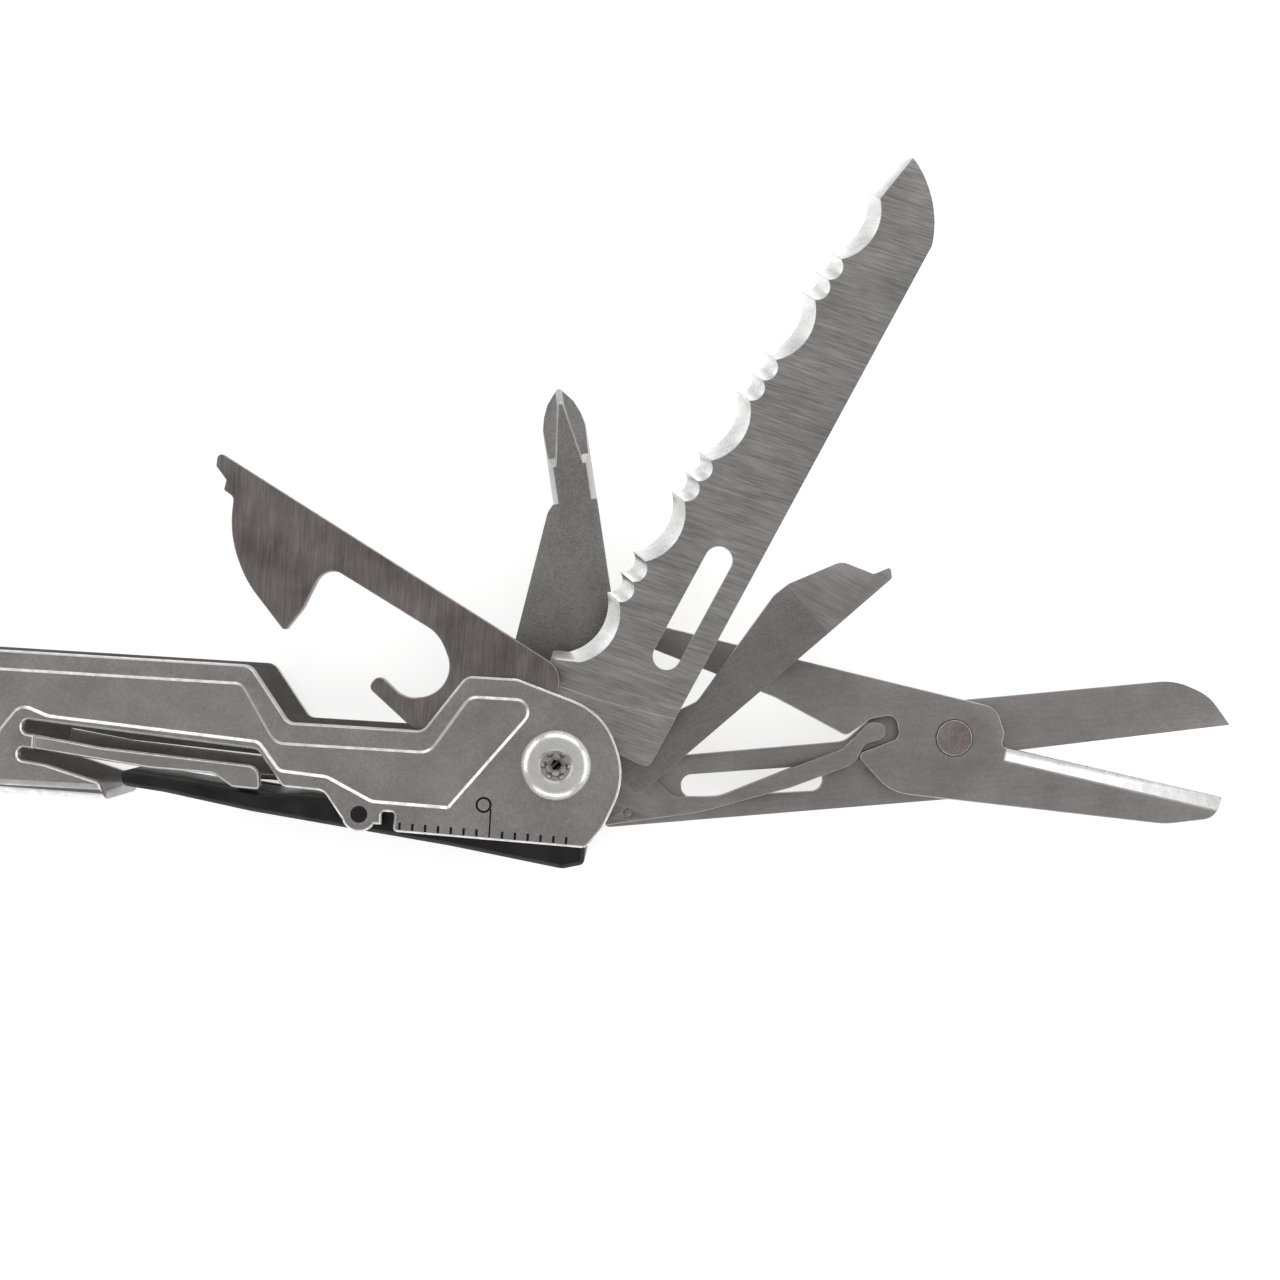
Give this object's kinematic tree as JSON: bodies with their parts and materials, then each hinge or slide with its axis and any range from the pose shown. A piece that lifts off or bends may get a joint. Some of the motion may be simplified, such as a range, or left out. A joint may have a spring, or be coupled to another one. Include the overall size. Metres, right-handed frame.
{
  "type": "folding multi tool",
  "caption": "Butterfly-handled pocket tool in T-pose: needle-nose pliers between two channel handles, with folding blades, drivers, opener and spring scissors on end pivots.",
  "frame": {"origin": "on the right handle's tool pivot axis, at the outer face of the far wall that the tool lies on", "axes": "+X along the right handle towards its tool end, +Y to the open side of the handle where the plier jaws point, +Z from the far wall to the near wall"},
  "size_m": [0.298, 0.0922, 0.018],
  "materials": {
    "blasted_steel": "bead-blasted stainless steel with polished edges",
    "satin_steel": "satin stainless steel",
    "screw_steel": "satin bright stainless steel",
    "bronze_washer": "dull phosphor bronze",
    "spring_steel": "satin spring steel",
    "black_steel": "black oxide",
    "brushed_dark": "brushed stainless steel, brownish grey",
    "blade_steel": "stainless steel brushed across its length, ground bright at the edge",
    "blasted_tool": "sand-blasted matt stainless steel",
    "rivet_steel": "satin, slightly pinkish"
  },
  "bodies": {
    "right_handle": {"right_handle_shell": "blasted_steel", "right_pivot_barrel": "satin_steel", "right_pivot_screw": "screw_steel", "right_pivot_washers": "bronze_washer", "right_lever_spring_near": "spring_steel", "right_lever_spring_far": "spring_steel", "right_hinge_barrel": "satin_steel", "right_hinge_screw": "screw_steel"},
    "right_lock": {"right_lock_lever": "black_steel", "right_lever_pins": "black_steel"},
    "opener": {"can_bottle_opener": "brushed_dark"},
    "serrated": {"serrated_blade": "blade_steel"},
    "flat": {"flat_driver": "brushed_dark"},
    "phillips": {"phillips_driver": "blasted_tool"},
    "scissors": {"scissors_fixed_arm": "satin_steel", "scissors_spring": "spring_steel", "scissors_rivet": "rivet_steel", "scissors_spring_stud": "rivet_steel"},
    "scissors_arm": {"scissors_moving_arm": "satin_steel"},
    "plier_right": {"plier_half_right": "blasted_tool", "jaw_rivet": "rivet_steel"},
    "plier_left": {"plier_half_left": "blasted_tool"},
    "left_handle": {"left_handle_shell": "blasted_steel", "left_pivot_barrel": "satin_steel", "left_pivot_screw": "screw_steel", "left_pivot_washers": "bronze_washer", "left_lever_spring_near": "spring_steel", "left_lever_spring_far": "spring_steel", "left_hinge_barrel": "satin_steel", "left_hinge_screw": "screw_steel"},
    "left_lock": {"left_lock_lever": "black_steel", "left_lever_pins": "black_steel"},
    "file": {"nail_file": "blade_steel"},
    "saw": {"wood_saw": "blade_steel"},
    "left_flat": {"small_driver": "brushed_dark"},
    "awl": {"awl": "blasted_tool"},
    "knife": {"knife_blade": "blade_steel"}
  },
  "joints": [
    {"name": "right_hinge", "type": "hinge", "parent": "right_handle", "child": "plier_right", "pos_m": [-0.0945, 0.0044, 0], "axis": [0, 0, -1], "range_deg": [-76, 90]},
    {"name": "jaws", "type": "hinge", "parent": "plier_right", "child": "plier_left", "pos_m": [-0.1015, 0.0154, 0], "axis": [0, 0, 1], "range_deg": [-28, 0]},
    {"name": "left_hinge", "type": "hinge", "parent": "plier_left", "child": "left_handle", "pos_m": [-0.1085, 0.0044, 0], "axis": [0, 0, -1], "range_deg": [-76, 90]},
    {"name": "opener_pivot", "type": "hinge", "parent": "right_handle", "child": "opener", "pos_m": [0, 0, 0], "axis": [0, 0, 1], "range_deg": [-151.1, 28.9]},
    {"name": "serrated_pivot", "type": "hinge", "parent": "right_handle", "child": "serrated", "pos_m": [0, 0, 0], "axis": [0, 0, 1], "range_deg": [-65, 115]},
    {"name": "flat_pivot", "type": "hinge", "parent": "right_handle", "child": "flat", "pos_m": [0, 0, 0], "axis": [0, 0, 1], "range_deg": [-44, 136]},
    {"name": "phillips_pivot", "type": "hinge", "parent": "right_handle", "child": "phillips", "pos_m": [0, 0, 0], "axis": [0, 0, 1], "range_deg": [-102, 78]},
    {"name": "scissors_pivot", "type": "hinge", "parent": "right_handle", "child": "scissors", "pos_m": [0, 0, 0], "axis": [0, 0, 1], "range_deg": [-8.2, 171.8]},
    {"name": "snip", "type": "hinge", "parent": "scissors", "child": "scissors_arm", "pos_m": [0.05088, 0.00592, 0], "axis": [0, 0, 1], "range_deg": [0, 20], "stiffness_Nm_per_rad": 0.02, "deforming": ["scissors_spring"]},
    {"name": "right_lock_pivot", "type": "hinge", "parent": "right_handle", "child": "right_lock", "pos_m": [-0.0239, -0.0075, 0], "axis": [0, 0, -1], "range_deg": [0, 3.6], "stiffness_Nm_per_rad": 0.02, "deforming": ["right_lever_spring_near", "right_lever_spring_far"]},
    {"name": "file_pivot", "type": "hinge", "parent": "left_handle", "child": "file", "pos_m": [-0.203, 0, 0], "axis": [0, 0, -1], "range_deg": [-180, 0]},
    {"name": "saw_pivot", "type": "hinge", "parent": "left_handle", "child": "saw", "pos_m": [-0.203, 0, 0], "axis": [0, 0, -1], "range_deg": [-180, 0]},
    {"name": "left_flat_pivot", "type": "hinge", "parent": "left_handle", "child": "left_flat", "pos_m": [-0.203, 0, 0], "axis": [0, 0, -1], "range_deg": [-180, 0]},
    {"name": "awl_pivot", "type": "hinge", "parent": "left_handle", "child": "awl", "pos_m": [-0.203, 0, 0], "axis": [0, 0, -1], "range_deg": [-180, 0]},
    {"name": "knife_pivot", "type": "hinge", "parent": "left_handle", "child": "knife", "pos_m": [-0.203, 0, 0], "axis": [0, 0, -1], "range_deg": [-180, 0]},
    {"name": "left_lock_pivot", "type": "hinge", "parent": "left_handle", "child": "left_lock", "pos_m": [-0.1791, -0.0075, 0], "axis": [0, 0, 1], "range_deg": [0, 3.6], "stiffness_Nm_per_rad": 0.02, "deforming": ["left_lever_spring_near", "left_lever_spring_far"]}
  ]
}
